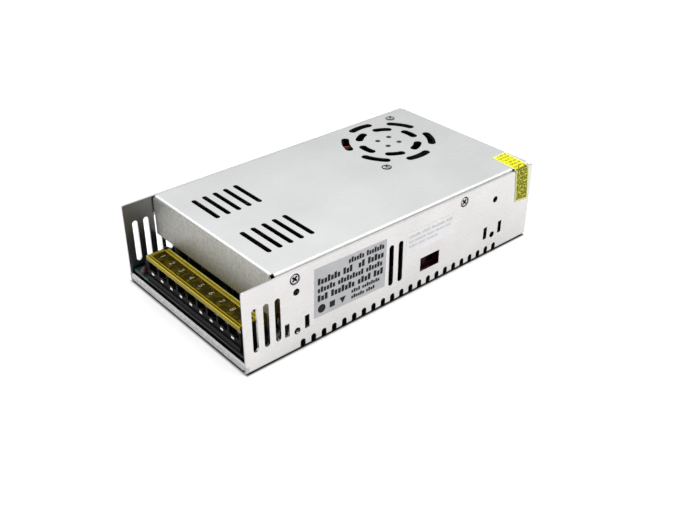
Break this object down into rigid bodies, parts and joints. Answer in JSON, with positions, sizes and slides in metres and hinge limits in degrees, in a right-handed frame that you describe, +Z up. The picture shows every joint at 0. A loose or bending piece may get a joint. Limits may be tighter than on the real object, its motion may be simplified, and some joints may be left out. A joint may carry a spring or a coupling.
{
  "type": "switching power supply",
  "caption": "Enclosed switching power supply in a slotted sheet-metal case, with a fan below its cover grille, a screw terminal strip under a hinged amber lid and a voltage selector.",
  "frame": {"origin": "middle of the underside of the case", "axes": "+X from the terminal end to the rear, -Y out of the wall with the selector window, +Z up"},
  "size_m": [0.215, 0.1151, 0.0517],
  "materials": {
    "case_sheet": "satin rolled sheet, punched and folded",
    "cover_sheet": "satin rolled sheet, punched and folded",
    "screw_steel": "zinc plated",
    "black_plastic": "moulded",
    "rotor_plastic": "moulded",
    "white_plastic": "moulded",
    "grey_plastic": "moulded",
    "red_plastic": "moulded",
    "amber_plastic": "moulded, translucent",
    "yellow_plastic": "moulded box",
    "lamp_plastic": "tinted epoxy",
    "red_insulation": "extruded",
    "black_insulation": "extruded",
    "tinned_brass": "tin plated",
    "brass": "turned",
    "copper": "enamelled wire",
    "board_laminate": "coated glass laminate",
    "film_plastic": "dark sheet film",
    "clear_film": "clear film",
    "label_foil": "printed foil label",
    "seal_paper": "printed brittle paper",
    "fuse_glass": "tube with metal caps",
    "capacitor_sleeve": "shrink sleeve",
    "ferrite": "sintered",
    "green_ferrite": "coated, sintered",
    "yellow_ferrite": "coated, pressed",
    "dark_ceramic": "dipped",
    "blue_ceramic": "dipped",
    "resistor_ceramic": "coated",
    "winding_tape": "taped winding",
    "heatsink_metal": "extruded",
    "pad_rubber": "silicone sheet"
  },
  "bodies": {
    "case": {"chassis": "case_sheet", "top_cover": "cover_sheet", "cover_screws": "screw_steel", "fan_screws": "screw_steel", "fan_frame": "black_plastic", "fan_stator": "copper", "fan_lead_red": "red_insulation", "fan_lead_black": "black_insulation", "fan_plug": "white_plastic", "terminal_block": "black_plastic", "terminal_plates": "tinned_brass", "terminal_washers": "screw_steel", "terminal_screws": "screw_steel", "circuit_board": "board_laminate", "insulating_film": "film_plastic", "standoffs": "brass", "board_screws": "screw_steel", "indicator_led": "lamp_plastic", "trimmer_body": "black_plastic", "selector_body": "black_plastic", "selector_frame": "screw_steel", "rating_label": "label_foil", "notice_film": "clear_film", "seal_sticker": "seal_paper", "input_fuse": "fuse_glass", "fuse_clips": "tinned_brass", "film_capacitor": "yellow_plastic", "filter_choke_core": "green_ferrite", "filter_choke_winding": "copper", "thermistor": "dark_ceramic", "disc_capacitors": "blue_ceramic", "bridge_rectifier": "black_plastic", "bulk_capacitors": "capacitor_sleeve", "primary_heatsink": "heatsink_metal", "power_transistors": "black_plastic", "transformer_core": "ferrite", "transformer_bobbin": "black_plastic", "transformer_winding": "winding_tape", "secondary_heatsink": "heatsink_metal", "output_rectifiers": "black_plastic", "device_pads": "pad_rubber", "device_screws": "screw_steel", "output_choke_core": "yellow_ferrite", "output_choke_winding": "copper", "output_capacitors": "capacitor_sleeve", "driver_transformer": "winding_tape", "control_chip": "black_plastic", "small_capacitors": "capacitor_sleeve", "resistors": "resistor_ceramic"},
    "fan_rotor": {"fan_rotor": "rotor_plastic"},
    "terminal_lid": {"terminal_lid": "amber_plastic"},
    "selector_slider": {"selector_slider": "red_plastic"},
    "trimmer_rotor": {"trimmer_rotor": "grey_plastic"}
  },
  "joints": [
    {"name": "lid_hinge", "type": "hinge", "parent": "case", "child": "terminal_lid", "pos_m": [-0.0915, -0.00456, 0.02295], "axis": [0, 1, 0], "range_deg": [0, 95]},
    {"name": "fan_spin", "type": "hinge", "parent": "case", "child": "fan_rotor", "pos_m": [0.0618, 0.0211, 0.0417], "axis": [0, 0, 1], "continuous": true},
    {"name": "selector_slide", "type": "slide", "parent": "case", "child": "selector_slider", "axis": [1, 0, 0], "range_m": [0, 0.006]},
    {"name": "adjuster_turn", "type": "hinge", "parent": "case", "child": "trimmer_rotor", "pos_m": [-0.0975, 0.04723, 0.0147], "axis": [0, 0, 1], "range_deg": [-135, 135]}
  ]
}
